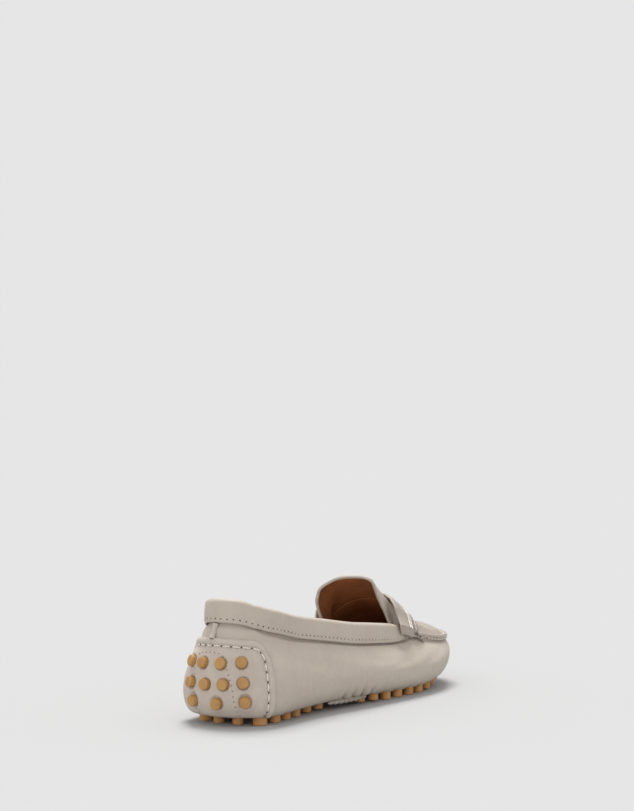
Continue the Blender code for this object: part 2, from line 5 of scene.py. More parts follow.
import bpy
import numpy as np
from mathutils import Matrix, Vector


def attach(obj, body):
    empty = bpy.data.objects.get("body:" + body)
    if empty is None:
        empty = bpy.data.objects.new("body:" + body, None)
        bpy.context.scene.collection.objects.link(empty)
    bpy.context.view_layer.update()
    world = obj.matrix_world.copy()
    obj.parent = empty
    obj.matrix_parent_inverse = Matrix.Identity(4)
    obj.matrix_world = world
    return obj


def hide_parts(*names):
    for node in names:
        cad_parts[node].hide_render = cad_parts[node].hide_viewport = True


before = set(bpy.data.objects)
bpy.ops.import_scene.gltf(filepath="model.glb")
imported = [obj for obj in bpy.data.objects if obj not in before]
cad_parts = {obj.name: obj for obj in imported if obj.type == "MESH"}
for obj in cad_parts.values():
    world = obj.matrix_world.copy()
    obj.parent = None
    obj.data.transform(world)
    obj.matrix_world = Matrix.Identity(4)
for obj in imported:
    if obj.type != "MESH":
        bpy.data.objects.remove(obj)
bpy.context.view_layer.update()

SHIFT = np.array([-0.0002826, -0.1233486, 0.0])   # from the heel's back to the middle of the box

# Sizes of the shoe
LENGTH = 0.250          # heel to toe of the leather
BALL_WIDTH = 0.089      # width that the plan's fullness is given in
HEEL_HEIGHT = 0.0695    # top line over the floor at the heel
TONGUE_HEIGHT = 0.0738  # top of the tongue over the floor
TOE_SPRING = 0.0095     # lift of the underside at the toe
FULLEST = 0.013         # height of the fullest line over the underside
TURN = 0.010            # how far in the wall rolls under
LEAN = 0.0135           # how far in the wall leans at the heel
LEATHER = 0.0019        # wall of the upper and of the bottom panel
GAP = 0.0003            # clearance between touching pieces

# Collar band, folded over the top edge
BAND_TALL = 0.0135
BAND_LEATHER = 0.0015
BAND_PROUD = 0.0010
BAND_FRONT = 0.645      # share of the length where it ends
BAND_INSIDE = 0.009     # depth of the fold inside

# Saddle strap and tongue
STRAP_REAR = 0.632      # shares of the length
STRAP_FRONT = 0.722
STRAP_DROP = 0.0058     # reach of its ends below the top line
STRAP_LEATHER = 0.0015
THROAT = 0.680          # where the apron ends under the strap
TONGUE_LEATHER = 0.0017
TONGUE_TUCK = 0.0052    # how far the tongue sits inside the collar

SEAM_PROUD = 0.0011     # raised seam around the apron

# Heel patch, its rubber studs and the strip over it
PATCH_WIDE = 0.0740     # measured around the heel
PATCH_TALL = 0.0375
PATCH_LEATHER = 0.0013
STRIP_WIDE = 0.0028

# Rubber studs
STUD_TALL = 0.0046      # below the leather
STUD_WIDE = 0.0062
STUD_PROUD = 0.0033     # behind the heel patch
CORNER_WIDE = 0.0080    # the two rear corner studs
RUBBER = 0.0012         # plate that carries the studs
STUD_ROW = 0.0124       # pitch along the shoe
HEEL_TREAD = (0.012, 0.084)      # from and to, along the shoe
FRONT_TREAD = (0.1185, 0.2290)
EDGE_IN = 0.0118        # outer studs in from the outline
INSOLE_THICK = 0.0022
INSOLE_IN = 0.0066      # its edge in from the outline

# Rolled border of the heel piece, measured around the heel and over the fullest line
BORDER_HALF = 0.0376
BORDER_TOP = 0.0305
BORDER_BEND = 0.0115
PATCH_LOW = -0.0158     # where the heel piece ends under the shoe
SEWN_IN = 0.0040        # its sewing lies this far inside the outer line
SEWN_LOW = -0.0095      # and ends this far below the fullest line

# Sewing: pitches of the stitches, and where rows begin
SEAM_PITCH = 0.0042     # raised seam
SEWN_PITCH = 0.0055     # heel piece, by hand
MACHINE_PITCH = 0.0029  # heel piece, by machine
COLLAR_PITCH = 0.0036
COLLAR_SEWN = 0.0026    # height of the row over the band's lower edge
SEAM_FOLD_FROM = 0.745  # shares of the length
SEAM_SEWN_FROM = 0.778
WAIST = (0.335, 0.480)  # where the upper is gathered to the bottom panel, shares of the length
PLEAT_PITCH = 0.0046    # gathers under the waist
WALL_PLEATS = (0.0088, 0.0031)   # long and short waves that they make in the wall

# Camera: lens in mm, place from the heel's back, turn from +Y and tip up in degrees
LENS = 86.47
EYE = (0.5951, -0.8815, 0.1706)
EYE_TURN = 30.9
EYE_TIP = 0.26

# Sections of the last. along: share of the length. outer, inner: half width over half of
# BALL_WIDTH. rise: share of TOE_SPRING. top: share of HEEL_HEIGHT. lean: share of LEAN.
# belly: share of FULLEST. band: upright part of the wall, share of BAND_TALL.
LAST = dict(
    along=[0.00, 0.02, 0.06, 0.12, 0.20, 0.30, 0.42, 0.52, 0.62, 0.70, 0.78, 0.86, 0.93, 1.00],
    outer=[1.55, 1.51, 1.37, 1.10, 0.89, 0.815, 0.85, 0.90, 0.97, 1.055, 1.12, 1.155, 1.17, 1.15],
    inner=[1.52, 1.47, 1.31, 1.05, 0.86, 0.76, 0.68, 0.72, 0.86, 1.01, 1.15, 1.26, 1.33, 1.36],
    rise=[0.0, 0.0, 0.0, 0.0, 0.01, 0.08, 0.14, 0.08, 0.02, 0.02, 0.10, 0.32, 0.63, 1.00],
    top=[1.0, .985, .955, .905, .835, .777, .708, .670, .625, .554, .489, .452, .443, .455],
    lean=[.67, .85, 1.0, .85, .755, .68, .70, .785, .89, .92, .74, .45, .19, .22],
    belly=[1, 1, 1, 1, 1, 1, 1, 1, 1, .96, .92, .92, .92, .92],
    band=[1, 1, 1, 1, .98, .96, .94, .92, .80, .36, .22, .22, .22, .22],
)
# Arch over the instep. crest: share of TONGUE_HEIGHT. power, root: roundness. skew: how far the
# crest moves outwards. sway: how far the arch stands inwards, share of TONGUE_TUCK.
ARCH = dict(
    along=[0.58, 0.62, 0.66, 0.70, 0.74, 0.79, 0.86, 0.93, 1.00],
    crest=[1.0, .912, .827, .750, .683, .622, .550, .502, .437],
    power=[2.8, 2.4, 2.2, 2.1, 2.1, 2.0, 2.0, 2.0, 2.0],
    root=[1.8, 1.5, 1.4, 1.35, 1.3, 1.2, 1.0, 1.0, 1.0],
    skew=[.27, .20, .08, .08, .07, .05, .03, 0.0, 0.0],
    sway=[.95, .60, .15, 0.0, 0.0, 0.0, 0.0, 0.0, 0.0],
)
# Free edge of the tongue: place across the arch, -1 inner to 1 outer, and share of the length
TONGUE_EDGE = dict(across=[-1.0, -0.92, -0.75, -0.40, 0.0, 0.40, 0.70, 0.875, 1.0],
                   along=[.600, .574, .568, .575, .5845, .588, .600, .628, .648])
# Studs behind the heel: place around the heel as a share of half PATCH_WIDE, and height over the
# fullest line as a share of PATCH_TALL.
HEEL_STUDS = [(-0.47, 0.46), (-0.18, 0.45), (0.15, 0.455), (0.48, 0.48),
              (-0.40, 0.16), (-0.09, 0.15), (0.21, 0.16), (0.51, 0.19),
              (-0.33, -0.08), (0.11, -0.09), (0.54, -0.06)]
# Extra inset of the outer studs at the heel and the waist, share of EDGE_IN
STUD_LINE = dict(along=[0.0, 0.03, 0.08, 0.16, 0.23, 0.28, 0.34, 0.45, 0.52, 1.0],
                 inset=[0.40, 0.22, 0.0, 0.0, 0.16, 0.28, 0.36, 0.14, 0.0, 0.0])


# Reading the tables
def curve(xs, ys, x):
    """Smooth curve through a table, a cubic between each two entries."""
    xs, ys = np.asarray(xs, float), np.asarray(ys, float)
    x = np.clip(np.asarray(x, float), xs[0], xs[-1])
    h = np.diff(xs)
    d = np.diff(ys) / h
    m = np.empty_like(ys)
    m[1:-1] = (d[:-1] * h[1:] + d[1:] * h[:-1]) / (h[:-1] + h[1:])
    m[0], m[-1] = d[0], d[-1]
    i = np.clip(np.searchsorted(xs, x, side="right") - 1, 0, len(h) - 1)
    t = (x - xs[i]) / h[i]
    return ((2 * t**3 - 3 * t**2 + 1) * ys[i] + (t**3 - 2 * t**2 + t) * h[i] * m[i]
            + (3 * t**2 - 2 * t**3) * ys[i + 1] + (t**3 - t**2) * h[i] * m[i + 1])


def last(name, s):
    return curve(LAST["along"], LAST[name], s)


def arch(name, s):
    return curve(ARCH["along"], ARCH[name], s)


def ramp(a, b, x):
    """0 below a, 1 above b, and smooth between."""
    t = np.clip((np.asarray(x, float) - a) / (b - a), 0, 1)
    return t * t * (3 - 2 * t)


def unit(way):
    return way / np.linalg.norm(way, axis=-1, keepdims=True)


def lengths(line):
    """How long a line is up to each of its points."""
    return np.concatenate([[0], np.cumsum(np.linalg.norm(np.diff(line, axis=0), axis=1))])


# The last
def station(g):
    """Share of the length at g, which runs 0..1 along the outer side and back to 2 inside."""
    g = np.asarray(g, float) % 2.0
    return (1 - np.cos(math.pi * np.minimum(g, 2 - g))) / 2


def going(s):
    """The g of the outer side at a share of the length."""
    return np.arccos(1 - 2 * np.asarray(s, float)) / math.pi


def plan(g):
    """Outline of the shoe, seen from above."""
    g = np.asarray(g, float) % 2.0
    s = station(g)
    wide = np.where(g <= 1, last("outer", s), -last("inner", s)) * BALL_WIDTH / 2
    x = wide * np.sin(math.pi * np.minimum(g, 2 - g))
    return np.stack([x, LENGTH * s], -1)


def outward(g, e=1e-3):
    """The direction that leaves the outline."""
    t = unit(plan(g + e) - plan(g - e))
    return np.stack([t[..., 1], -t[..., 0]], -1)


def under(s):
    """Height of the underside."""
    return STUD_TALL + TOE_SPRING * last("rise", s)


def skin(g, h):
    """Wall of the last: h 0..1 is the roll under, 1..2 the side up to the band, 2..3 the band."""
    g, h = np.broadcast_arrays(np.asarray(g, float), np.asarray(h, float))
    s = station(g)
    low, belly = under(s), FULLEST * last("belly", s)
    band, top = BAND_TALL * last("band", s), HEEL_HEIGHT * last("top", s)
    roll = np.clip(h, 0, 1) * math.pi / 2
    side, upright = np.clip(h - 1, 0, 1), np.clip(h - 2, 0, 1)
    square = 0.72 + 0.13 * ramp(0.10, 0.30, s)
    shift = np.where(h < 1, -TURN * (1 - np.sin(roll) ** square), -LEAN * last("lean", s) * side**1.6)
    z = np.where(h < 1, low + belly * (1 - np.abs(np.cos(roll)) ** 0.9),
                 low + belly + (top - band - low - belly) * side + band * upright)
    at = plan(g) + outward(g) * shift[..., None]
    return np.concatenate([at, z[..., None]], -1)


def vault(s, q):
    """Arch over the instep, q -1..1 from the inner to the outer top line."""
    s, q = np.broadcast_arrays(np.asarray(s, float), np.asarray(q, float))
    g = going(s)
    m = ((1 + q) / 2)[..., None]
    at = skin(2 - g, 3.0) * (1 - m) + skin(g, 3.0) * m
    off = np.clip(np.abs(q - arch("skew", s) * (1 - q * q)), 0, 1)
    lift = (1 - off ** arch("power", s)) ** (1 / arch("root", s))
    at[..., 2] += (TONGUE_HEIGHT * arch("crest", s) - HEEL_HEIGHT * last("top", s)) * lift
    at[..., 0] -= TONGUE_TUCK * arch("sway", s) * 4 * lift * (1 - lift)
    return at


def arch_from(q, s):
    """The arch with its two directions in the order that turns its normal up."""
    return vault(s, q)


def ground(s, q):
    """Underside between the two inner edges of the roll, q -1..1 from inner to outer."""
    s, q = np.broadcast_arrays(np.asarray(s, float), np.asarray(q, float))
    g, m = going(s), ((1 + q) / 2)[..., None]
    return skin(2 - g, 0.0) * (1 - m) + skin(g, 0.0) * m


def bed(y):
    """Height of the flat of the underside at a place along the shoe."""
    s = np.linspace(0, 1, 101)
    g = going(s)
    return np.interp(y, (skin(g, 0.0)[:, 1] + skin(2 - g, 0.0)[:, 1]) / 2, under(s))


def raised(form, u, v, lift, e=2e-3):
    """Points of a form moved along its normal."""
    u, v = np.broadcast_arrays(np.asarray(u, float), np.asarray(v, float))
    du = form(u + e, v) - form(u - e, v)
    dv = form(u, v + e) - form(u, v - e)
    n = np.cross(du, dv)
    n /= np.maximum(np.linalg.norm(n, axis=-1, keepdims=True), 1e-12)
    return form(u, v) + n * np.asarray(lift, float)[..., None]


# Distance around the heel from the centre back, positive on the outer side
_G = np.linspace(-0.4, 0.4, 161)
_ARC = lengths(plan(_G))
_ARC -= _ARC[80]


def arc(g):
    """Distance around the heel at a g."""
    g = np.asarray(g, float)
    return np.interp(np.where(g > 1, g - 2, g), _G, _ARC)


def arc_to_g(a):
    """The g at a distance around the heel."""
    return np.interp(a, _ARC, _G)


HEEL_SIDE = HEEL_HEIGHT - BAND_TALL - STUD_TALL - FULLEST   # h 1..2 at the centre back
HEEL_ROLL = 0.5 * math.pi * (TURN + FULLEST) / 2            # h 0..1 there


def climb(h):
    """Height over the fullest line, measured along the skin at the heel."""
    return np.where(h > 1, (h - 1) * HEEL_SIDE, (h - 1) * HEEL_ROLL)


def climbed(v):
    """The h at a height over the fullest line, the reverse of climb()."""
    return 1 + (v / HEEL_SIDE if v > 0 else v / HEEL_ROLL)


def patch_edge(g, h):
    """Distance inside the outer line of the heel piece, which has no lower edge: it runs under."""
    a = np.abs(arc(g)) - (BORDER_HALF - BORDER_BEND)
    v = climb(h) - (BORDER_TOP - BORDER_BEND)
    out = np.hypot(np.maximum(a, 0), np.maximum(v, 0)) + np.minimum(np.maximum(a, v), 0)
    return BORDER_BEND - out


def tread_line(tread):
    """Open line round one tread: the outline moved in, further at the heel's back and the waist."""
    g = np.linspace(0, 2, 721)
    inset = EDGE_IN + EDGE_IN * curve(STUD_LINE["along"], STUD_LINE["inset"], station(g))
    line = plan(g) - outward(g) * inset[:, None]
    if tread is HEEL_TREAD:
        line = np.roll(line[:-1], 360, axis=0)
        return line[line[:, 1] <= tread[1]]
    return line[line[:, 1] >= tread[0]]


def floor_studs(tread):
    """(foot, root, width) of each stud below a tread: one row round the edge and fewer inside."""
    line = tread_line(tread)
    run = lengths(line)
    count = int(round(run[-1] / STUD_ROW)) + 1
    at = np.linspace(0, run[-1], count)
    spots = [(np.interp(d, run, line[:, 0]), np.interp(d, run, line[:, 1])) for d in at]
    pitch = STUD_ROW * 1.5
    rows = int((tread[1] - tread[0]) / (pitch * 0.8))
    for k in range(rows):
        y = tread[0] + (k + 0.5) * (tread[1] - tread[0]) / rows
        ends = [float(np.interp(y, half[:, 1], half[:, 0])) for half in halves(line)]
        inside = max(0, int(abs(ends[1] - ends[0]) / pitch) - k % 2)
        for x in np.linspace(*ends, inside + 2)[1:-1]:
            if min(math.hypot(x - u, y - v) for u, v in spots) > STUD_ROW * 0.75:
                spots.append((float(x), y))
    places = []
    for n, (x, y) in enumerate(spots):
        lift = float(bed(y)) - STUD_TALL
        slope = float(bed(y + 0.003) - bed(y - 0.003)) / 0.006
        if lift < 0.0006:
            lift, slope = 0.0, 0.0
        corner = tread is HEEL_TREAD and n < count and abs(x) > 0.014 and y < 0.024
        root = STUD_TALL + LEATHER + 2 * GAP + RUBBER * 0.6
        way = np.array([0, -slope, 1.0])
        foot = np.array([x, y + slope * root, lift])
        places.append((foot, foot + way * root, CORNER_WIDE if corner else STUD_WIDE))
    return places


def halves(line):
    """The two sides of a tread's line, each from the heel to the toe."""
    half = len(line) // 2
    return [side[np.argsort(side[:, 1])] for side in (line[:half], line[half:])]


# Laying out leather, thread and rubber
def spans(*stops):
    """Evenly stepped runs joined at their ends: start, then pairs of how many steps and where to."""
    out = [stops[0]]
    for count, end in zip(stops[1::2], stops[2::2]):
        out += list(np.linspace(out[-1], end, count + 1)[1:])
    return np.array(out)


def placed(name, data):
    """A new object in the scene."""
    thing = bpy.data.objects.new(name, data)
    bpy.context.scene.collection.objects.link(thing)
    return thing


def piece(name, points, faces, finishes, depth=0.0, lining=0, cut=0):
    """A smooth mesh that goes with the shoe, and a leather's thickness behind it where asked."""
    mesh = bpy.data.meshes.new(name)
    mesh.from_pydata((np.asarray(points).reshape(-1, 3) + SHIFT).tolist(), [], faces)
    mesh.update()
    mesh.shade_smooth()
    thing = placed(name, mesh)
    for finish in finishes:
        mesh.materials.append(finish)
    if depth:
        hide = thing.modifiers.new("thickness", "SOLIDIFY")
        hide.thickness = depth
        hide.offset = -1.0
        hide.use_rim = True
        hide.material_offset = lining
        hide.material_offset_rim = cut
    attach(thing, "root")
    return thing


def sheet_faces(n, m, closed=False, flip=False):
    """Faces of a net of n rows and m columns, the last column joined to the first where closed."""
    faces = []
    for i in range(n - 1):
        for j in range(m if closed else m - 1):
            k = (j + 1) % m
            quad = (i * m + j, i * m + k, (i + 1) * m + k, (i + 1) * m + j)
            faces.append(quad[::-1] if flip else quad)
    return faces


def tube_faces(rows, sides):
    """Faces of a tube of rings, closed at both ends."""
    ends = [tuple(range(sides))[::-1], tuple(range((rows - 1) * sides, rows * sides))]
    return sheet_faces(rows, sides, closed=True) + ends


def many(faces, count, per):
    """The same faces for each of count bodies that have so many points."""
    return [tuple(n * per + k for k in side) for n in range(count) for side in faces]


def stand(form, u, v):
    """Points of a form, and the direction that stands up from it at each."""
    flat = raised(form, u, v, 0.0)
    return flat, unit(raised(form, u, v, 1e-3) - flat)


def ring(one, two, sides):
    """Spokes of a ring, an even turn apart, from its first quarter's two directions."""
    turn = np.linspace(0, 2 * math.pi, sides, endpoint=False)[:, None]
    return one[..., None, :] * np.cos(turn) + two[..., None, :] * np.sin(turn)


def sewing(name, form, us, vs, pitch, share, thick, lift, finish, hole=None, hole_wide=0.0, sides=6):
    """Stitches along a line on a form: a thread that rises out of one hole and dips in the next."""
    us, vs = np.broadcast_arrays(np.asarray(us, float), np.asarray(vs, float))
    run = lengths(raised(form, us, vs, 0.0))
    count = max(1, int(run[-1] / pitch))
    step = run[-1] / count
    start = (np.arange(count) + 0.5) * step
    along = np.array([-.5, -.36, -.16, .16, .36, .5]) * share * step
    swell = np.array([.35, .85, 1, 1, .85, .35])
    where = start[:, None] + along
    u, v = np.interp(where, run, us), np.interp(where, run, vs)
    flat, up = stand(form, u, v)
    side = np.cross(unit(np.gradient(flat, axis=1)), up)
    mid = flat + up * (lift + thick * (swell - 0.75) * 0.8)[None, :, None]
    spokes = ring(up * 0.8, side, sides)
    points = (mid[:, :, None] + spokes * (thick / 2 * swell)[None, :, None, None]).reshape(-1, 3)
    faces = many(tube_faces(len(along), sides), count, len(along) * sides)
    thing = piece(name, points, faces, [finish])
    if hole is not None:
        where = np.arange(count + 1) * step
        u, v = np.interp(where, run, us), np.interp(where, run, vs)
        # dark discs of painted shade stand in for the depth of each hole
        hole_shade_discs(name + "_hole_shade", form, u, v, hole_wide, lift, hole)
    return thing


def hole_shade_discs(name, form, u, v, wide, lift, finish, sides=10):
    """Painted shade of small holes: dark discs that stand a hair over the leather's face."""
    flat, up = stand(form, u, v)
    way = unit(np.cross(up, np.array([0, 0, 1.0])))
    rims = flat[:, None] + up[:, None] * (lift + 2e-5) + ring(way, np.cross(up, way), sides) * wide / 2
    tops = flat + up * (lift + 0.0001)
    points = np.concatenate([tops[:, None], rims], 1)
    disc = [(0, 1 + j, 1 + (j + 1) % sides) for j in range(sides)]
    return piece(name, points, many(disc, len(flat), sides + 1), [finish])


def through(stops, steps=60):
    """A smooth line through a few (across, up) places behind the heel, as g and h."""
    stops = np.array(stops)
    t = np.arange(len(stops))
    fine = np.linspace(0, len(stops) - 1, steps)
    a, v = curve(t, stops[:, 0], fine), curve(t, stops[:, 1], fine)
    return arc_to_g(a), np.array([climbed(k) for k in v])


# Where the leather swells, dips and creases
def collar_step(s):
    """1 behind the collar band, fading to 0 in front of it."""
    return 1 - ramp(BAND_FRONT + 0.008, THROAT, s)


def seam_on(s):
    """1 where the raised seam runs round the apron."""
    return ramp(0.725, 0.755, s)


CREASES = [   # along, height h, length, width, depth, slope of each soft crease in the two quarters
    (0.105, 1.62, 0.050, 0.0060, 0.00030, 0.10),
    (0.200, 1.55, 0.060, 0.0080, 0.00035, -0.25),
    (0.330, 1.30, 0.055, 0.0090, 0.00030, -0.30),
    (0.470, 1.50, 0.060, 0.0090, 0.00035, -0.18),
    (0.610, 1.30, 0.050, 0.0080, 0.00040, 0.35),
    (0.700, 1.15, 0.045, 0.0070, 0.00035, 0.50),
    (0.790, 1.40, 0.035, 0.0060, 0.00030, 0.60),
]


def creases(g, h):
    """Soft troughs that the leather keeps from being drawn over the last."""
    s = station(g)
    y, z = s * LENGTH, (h - 1) * 0.030
    side = np.where(g % 2.0 <= 1, 1.0, -1.0)
    total = np.zeros(np.broadcast(g, h).shape)
    for along, high, long, wide, deep, slope in CREASES:
        for way in (1, -1):
            dy = y - (along + (0.03 if way < 0 else 0)) * LENGTH
            dz = z - (high - 1) * 0.030
            a = (dy + slope * dz) / math.hypot(1, slope)
            b = (dz - slope * dy) / math.hypot(1, slope)
            bend = b - 0.12 * a * a / long
            total = total - deep * (side == way) * np.exp(-(a / long * 2) ** 2 - (bend / wide * 2) ** 2)
    return total


def upper_relief(g, h):
    """How far the upper's face stands off the last."""
    s = station(g)
    d = patch_edge(g, h)
    near = np.where((np.abs(arc(g)) < PATCH_WIDE) & (s < 0.2), 1.0, 0.0)
    drawn_in = 0.0004 * np.exp(-((d + 0.0010) / 0.0012) ** 2)
    lift = -near * (drawn_in + 0.0030 * ramp(0.0004, 0.0020, d))
    lift = lift - (BAND_LEATHER - BAND_PROUD + 2 * GAP) * ramp(1.93, 1.99, h) * collar_step(s)
    on = seam_on(s)
    run = arc_length(g)
    ridge = np.clip((h - 2.05) / 1.05, 0, 1)
    pinch = 1 + 0.16 * np.cos(2 * math.pi * run / SEAM_PITCH)
    lift = lift + on * (SEAM_PROUD * 1.15 * np.sin(math.pi * ridge ** 0.8) * pinch
                        - 0.0006 * np.exp(-((h - 1.98) / 0.16) ** 2))
    waist = ramp(0.335, 0.355, s) * (1 - ramp(0.47, 0.49, s)) * (1 - ramp(0.34, 0.72, h))
    wave, small = (np.cos(2 * math.pi * run / pitch) for pitch in WALL_PLEATS)
    lift = lift + waist * (0.0013 * wave + 0.0003 * small)
    return lift + creases(g, h)


_RING_G = np.linspace(0, 2, 1441)
_RING_RUN = lengths(plan(_RING_G))


def arc_length(g):
    """Distance round the shoe from the centre back, up the outer side."""
    return np.interp(np.asarray(g, float) % 2.0, _RING_G, _RING_RUN)


def face(g, h):
    """Outer face of the upper. Its top edge stays below the fold of the collar."""
    g, h = np.broadcast_arrays(np.asarray(g, float), np.asarray(h, float))
    s = station(g)
    short = (BAND_LEATHER + GAP) / (BAND_TALL * last("band", s))
    h = np.minimum(h, 3 - collar_step(s) * short)
    at = raised(skin, g, h, upper_relief(g, h))
    pinch = 1 + 0.12 * np.cos(2 * math.pi * arc_length(g) / SEAM_PITCH)
    at[..., 2] += 0.0013 * pinch * seam_on(s) * np.sin(math.pi * np.clip((h - 2.30) / 0.70, 0, 1))
    return at


def lip(g):
    """The h at which the upper's lower edge ends, under the shoe."""
    return 0.24 - 0.10 * (1 - ramp(0.07, 0.13, station(g)))


def apron_face(q, s):
    """The apron that closes the top of the toe, sunk beside the raised seam and soft between."""
    at = vault(s, q)
    edge = np.maximum(np.abs(q), 0.98 * ramp(0.93, 0.995, s))
    groove = 0.0021 * seam_on(s) * ramp(0.80, 0.94, edge)
    puff = 0.0006 * seam_on(s) * np.sin(math.pi * np.clip(edge / 0.8, 0, 1))
    fold = 0.00035 * np.exp(-((s - 0.80 - 0.02 * q) / 0.008) ** 2) * (1 - edge ** 2)
    at[..., 2] += puff - groove - fold * (1 - ramp(0.7, 0.9, edge))
    return at


# Finishes
def tone(code):
    """Linear colour from an sRGB hex."""
    parts = [int(code[i:i + 2], 16) / 255 for i in (1, 3, 5)]
    return (*[c / 12.92 if c <= 0.04045 else ((c + 0.055) / 1.055) ** 2.4 for c in parts], 1.0)


def feed(node, into):
    """Puts numbers and colours on a node's sockets, and links the sockets of others to them."""
    for name, value in into.items():
        if isinstance(value, bpy.types.NodeSocket):
            node.id_data.links.new(value, node.inputs[name])
        else:
            node.inputs[name].default_value = value


def fit(tree, kind, into=(), **settings):
    """Adds a node with its settings, and feeds it."""
    node = tree.nodes.new(kind)
    for name, value in settings.items():
        setattr(node, name, value)
    feed(node, dict(into))
    return node


def blank(name):
    """An empty finish: its tree, its shader and the place on the shoe in metres."""
    mat = bpy.data.materials.new(name)
    mat.use_nodes = True
    tree = mat.node_tree
    shader = tree.nodes["Principled BSDF"]
    spot = fit(tree, "ShaderNodeTexCoord").outputs["Object"]
    return mat, tree, shader, spot


def clouded(tree, pattern, low, high, light, dark):
    """Colour that goes from a light shade to a dark one over a span of a pattern."""
    spread = fit(tree, "ShaderNodeMapRange", {"Value": pattern, "From Min": low, "From Max": high})
    blend = fit(tree, "ShaderNodeMix",
                {"Factor": spread.outputs["Result"], "A": tone(light), "B": tone(dark)}, data_type="RGBA")
    return blend.outputs["Result"]


def milled_calf(name, light, dark, worn, grain=0.0011, rough=0.56):
    """Full-grain calf, drum-dyed and softly milled: matt, pin-fine pebble, slack fine wrinkles."""
    mat, tree, shader, spot = blank(name)
    # the dye takes unevenly over patches of about 30 mm, with a fainter mottle of 4 mm
    cloud = fit(tree, "ShaderNodeTexNoise",
                {"Vector": spot, "Scale": 1 / 0.030, "Detail": 3.0, "Roughness": 0.55})
    mottle = fit(tree, "ShaderNodeTexNoise", {"Vector": spot, "Scale": 1 / 0.004, "Detail": 2.0})
    base = clouded(tree, cloud.outputs["Fac"], 0.34, 0.66, light, dark)
    amount = fit(tree, "ShaderNodeMapRange",
                 {"Value": mottle.outputs["Fac"], "From Min": 0.45, "From Max": 0.80, "To Max": 0.45})
    dyed = fit(tree, "ShaderNodeMix",
               {"Factor": amount.outputs["Result"], "A": base, "B": tone(worn)}, data_type="RGBA")
    # pebble of the grain; real cells are 0.3 mm, drawn about 1 mm so that they show
    pebble = fit(tree, "ShaderNodeTexVoronoi", {"Vector": spot, "Scale": 1 / grain, "Randomness": 0.9},
                 feature="SMOOTH_F1")
    # slack wrinkles 5.5 mm apart that run down the side, stretched three times
    drawn = fit(tree, "ShaderNodeMapping",
                {"Vector": spot, "Scale": (1.0, 1.4, 0.45), "Rotation": (0.6, 0.0, 0.2)})
    slack = fit(tree, "ShaderNodeTexNoise",
                {"Vector": drawn.outputs["Vector"], "Scale": 1 / 0.0055, "Detail": 3.0, "Roughness": 0.5,
                 "Distortion": 0.6})
    grains = fit(tree, "ShaderNodeBump",
                 {"Height": pebble.outputs["Distance"], "Distance": 0.00010, "Strength": 0.35}, invert=True)
    folds = fit(tree, "ShaderNodeBump",
                {"Height": slack.outputs["Fac"], "Distance": 0.00090, "Strength": 0.55,
                 "Normal": grains.outputs["Normal"]})
    feed(shader, {"Base Color": dyed.outputs["Result"], "Normal": folds.outputs["Normal"],
                  "Roughness": rough, "IOR": 1.47, "Specular IOR Level": 0.42})
    return mat


def lining_hide(name, light, dark):
    """Vegetable-tanned lining hide, glazed on the worn side: brown, a low gloss, small pores."""
    mat, tree, shader, spot = blank(name)
    cloud = fit(tree, "ShaderNodeTexNoise",
                {"Vector": spot, "Scale": 1 / 0.018, "Detail": 4.0, "Roughness": 0.6})
    base = clouded(tree, cloud.outputs["Fac"], 0.36, 0.64, light, dark)
    # hair pores; real ones are 0.15 mm, drawn 0.8 mm so that they show
    pores = fit(tree, "ShaderNodeTexVoronoi", {"Vector": spot, "Scale": 1 / 0.0008}, feature="F1")
    dents = fit(tree, "ShaderNodeBump",
                {"Height": pores.outputs["Distance"], "Distance": 0.00008, "Strength": 0.4})
    feed(shader, {"Base Color": base, "Normal": dents.outputs["Normal"], "Roughness": 0.50, "IOR": 1.48})
    return mat


def moulded_gum(name, light, dark):
    """Natural gum rubber, compression moulded: warm tan, dull satin, faint dusty bloom."""
    mat, tree, shader, spot = blank(name)
    bloom = fit(tree, "ShaderNodeTexNoise",
                {"Vector": spot, "Scale": 1 / 0.006, "Detail": 4.0, "Roughness": 0.6})
    base = clouded(tree, bloom.outputs["Fac"], 0.38, 0.66, light, dark)
    # spark-eroded mould face; real grit is 0.1 mm, drawn 0.7 mm so that it shows
    grit = fit(tree, "ShaderNodeTexNoise", {"Vector": spot, "Scale": 1 / 0.0007, "Detail": 2.0})
    dents = fit(tree, "ShaderNodeBump",
                {"Height": grit.outputs["Fac"], "Distance": 0.00008, "Strength": 0.35})
    feed(shader, {"Base Color": base, "Normal": dents.outputs["Normal"], "Roughness": 0.62,
                  "IOR": 1.52, "Specular IOR Level": 0.35})
    return mat


def bonded_thread(name, light, dark):
    """Waxed, bonded polyester sewing thread: pale, soft sheen, its twist just seen."""
    mat, tree, shader, spot = blank(name)
    # bands of the twist, slanted across the stitch
    ply = fit(tree, "ShaderNodeTexWave",
              {"Vector": spot, "Scale": 1 / 0.0030, "Distortion": 1.5, "Detail": 1.0},
              bands_direction="DIAGONAL")
    base = fit(tree, "ShaderNodeMix",
               {"Factor": ply.outputs["Fac"], "A": tone(light), "B": tone(dark)}, data_type="RGBA")
    feed(shader, {"Base Color": base.outputs["Result"], "Roughness": 0.48, "IOR": 1.54})
    return mat


def painted_hole_finish(name, deep):
    """Painted shade inside a pricked hole, over the fibre of raw leather, with no gloss."""
    mat, tree, shader, spot = blank(name)
    fibre = fit(tree, "ShaderNodeTexNoise", {"Vector": spot, "Scale": 1 / 0.0006})
    base = fit(tree, "ShaderNodeMix",
               {"Factor": fibre.outputs["Fac"], "A": tone(deep), "B": tone("#4A3A2E")}, data_type="RGBA")
    feed(shader, {"Base Color": base.outputs["Result"], "Roughness": 0.9, "Specular IOR Level": 0.1})
    return mat


# walls and collar band: pale warm grey, matt
UPPER_CALF = milled_calf("stone_milled_calf", "#BCB1A4", "#B6AA9D", "#C3B8AB")
